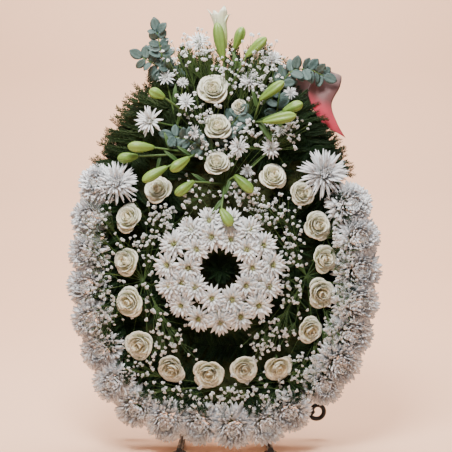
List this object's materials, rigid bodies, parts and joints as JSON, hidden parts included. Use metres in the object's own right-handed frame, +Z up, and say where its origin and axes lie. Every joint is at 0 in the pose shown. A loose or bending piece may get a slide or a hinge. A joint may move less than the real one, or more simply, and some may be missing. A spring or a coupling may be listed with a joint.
{
  "type": "funeral wreath",
  "caption": "Egg-shaped standing funeral wreath of conifer, white chrysanthemums, roses, lilies and gypsophila on a three-legged iron stand.",
  "frame": {"origin": "on the ground, at the middle of the footprint's bounding box", "axes": "+Z up, -Y the flowered front, +X to the right seen from the front"},
  "size_m": [0.6738, 0.5162, 0.9565],
  "materials": {
    "iron": "dark painted wrought iron",
    "board": "plain brown board",
    "moss": null,
    "conifer": null,
    "chrysanthemum": null,
    "daisy": "matte clear white petals round a pale yellow-green disc",
    "rose": "soft ivory petals with a cream heart",
    "lily": "smooth yellow-green buds and stems",
    "eucalyptus": "waxy blue-grey-green leaves",
    "gypsophila": "small matte white flower balls on thin green stems",
    "ribbon": "dull red-mauve satin, plain"
  },
  "bodies": {
    "root": {"backing_board": "board", "straw_base": "moss", "border_chrysanthemums_1": "chrysanthemum", "border_chrysanthemums_2": "chrysanthemum", "border_chrysanthemums_3": "chrysanthemum", "border_chrysanthemums_4": "chrysanthemum", "conifer_bottom": "conifer", "conifer_brow": "conifer", "conifer_centre": "conifer", "conifer_crown": "conifer", "conifer_edge_left": "conifer", "conifer_edge_right": "conifer", "conifer_inner_left": "conifer", "conifer_inner_right": "conifer", "conifer_outer_left": "conifer", "conifer_outer_right": "conifer", "daisy_ring_1": "daisy", "daisy_ring_2": "daisy", "daisy_ring_3": "daisy", "daisy_ring_4": "daisy", "daisy_ring_5": "daisy", "spray_chrysanthemum_left": "daisy", "spray_chrysanthemum_right": "daisy", "eucalyptus_centre": "eucalyptus", "eucalyptus_left": "eucalyptus", "eucalyptus_right": "eucalyptus", "gypsophila_bottom": "gypsophila", "gypsophila_left": "gypsophila", "gypsophila_right": "gypsophila", "gypsophila_top": "gypsophila", "lily_stem_centre": "lily", "lily_stem_left": "lily", "lily_stem_right": "lily", "lily_stem_top": "lily", "lily_stem_upper_left": "lily", "mourning_ribbon": "ribbon", "rose_01": "rose", "rose_02": "rose", "rose_03": "rose", "rose_04": "rose", "rose_05": "rose", "rose_06": "rose", "rose_07": "rose", "rose_08": "rose", "rose_09": "rose", "rose_10": "rose", "rose_11": "rose", "rose_12": "rose", "rose_13": "rose", "rose_14": "rose", "rose_15": "rose", "rose_16": "rose", "rose_17": "rose", "rose_18": "rose", "rose_19": "rose", "stand_leg_left": "iron", "stand_leg_right": "iron", "stand_lower_bar": "iron", "stand_rear_leg": "iron", "stand_upper_bar": "iron"}
  },
  "joints": []
}
